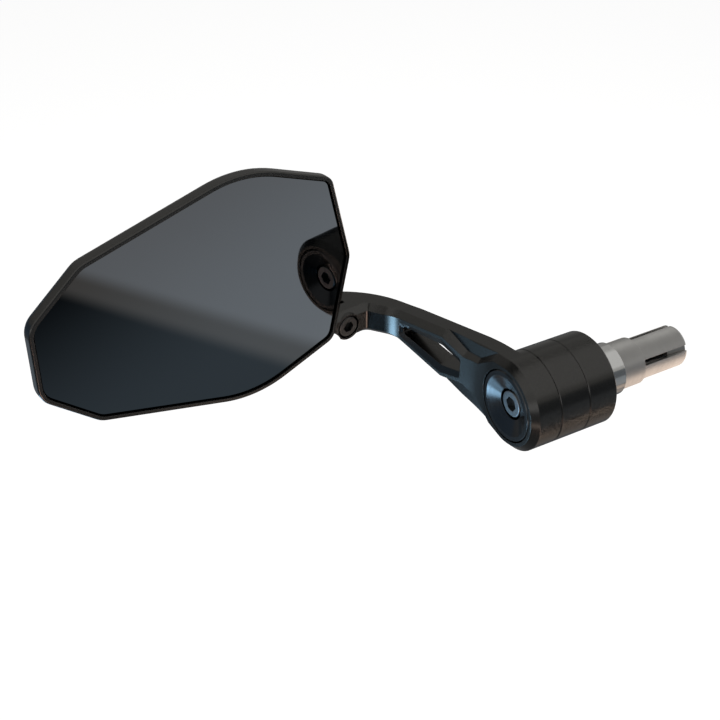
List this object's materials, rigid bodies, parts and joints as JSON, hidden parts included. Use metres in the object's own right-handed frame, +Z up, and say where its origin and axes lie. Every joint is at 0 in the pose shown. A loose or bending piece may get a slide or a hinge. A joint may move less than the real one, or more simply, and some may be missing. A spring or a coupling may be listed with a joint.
{
  "type": "motorcycle bar end mirror",
  "caption": "Bar end mirror with an expanding plug, turned barrel, hooked milled arm with a window, and an angular tinted mirror on a clamped ball.",
  "frame": {"origin": "centre of the handlebar's end face, on the bar axis, where the collar meets the bar", "axes": "+X along the bar axis into the handlebar, +Y ahead of the rider, +Z up"},
  "size_m": [0.2279, 0.1072, 0.1044],
  "materials": {
    "black_anodised": "fine matte black anodised",
    "polished_aluminium": "polished",
    "raw_aluminium": "turned satin",
    "screw_steel": "dark satin",
    "zinc_steel": "satin zinc",
    "black_nylon": "moulded matte",
    "foam": "foam tape",
    "mirror_glass": "tinted mirror"
  },
  "bodies": {
    "bar_end": {"spacer_outer": "black_anodised", "spacer_inner": "black_anodised", "collar": "polished_aluminium", "dish_washer": "black_anodised", "main_screw": "screw_steel", "expander_sleeve": "raw_aluminium", "cone_nut": "zinc_steel"},
    "swing_arm": {"arm": "black_anodised", "clamp_screw": "screw_steel"},
    "seat": {"ball_seat": "black_nylon"},
    "mirror_head": {"ball_stud": "zinc_steel", "lock_nut": "zinc_steel", "mount_post": "black_anodised", "post_screws": "screw_steel", "mirror_housing": "black_anodised", "glass_pad": "foam", "mirror_glass": "mirror_glass"}
  },
  "joints": [
    {"name": "arm_swing", "type": "hinge", "parent": "bar_end", "child": "swing_arm", "pos_m": [-0.0405, 0, 0], "axis": [1, 0, 0], "continuous": true},
    {"name": "mirror_turn", "type": "hinge", "parent": "swing_arm", "child": "seat", "pos_m": [-0.08418, 0.07619, 0], "axis": [0, 0, 1], "range_deg": [-20, 20]},
    {"name": "mirror_tilt", "type": "hinge", "parent": "seat", "child": "mirror_head", "pos_m": [-0.08418, 0.07619, 0], "axis": [-0.9912, -0.1323, 0], "range_deg": [-20, 20]}
  ]
}
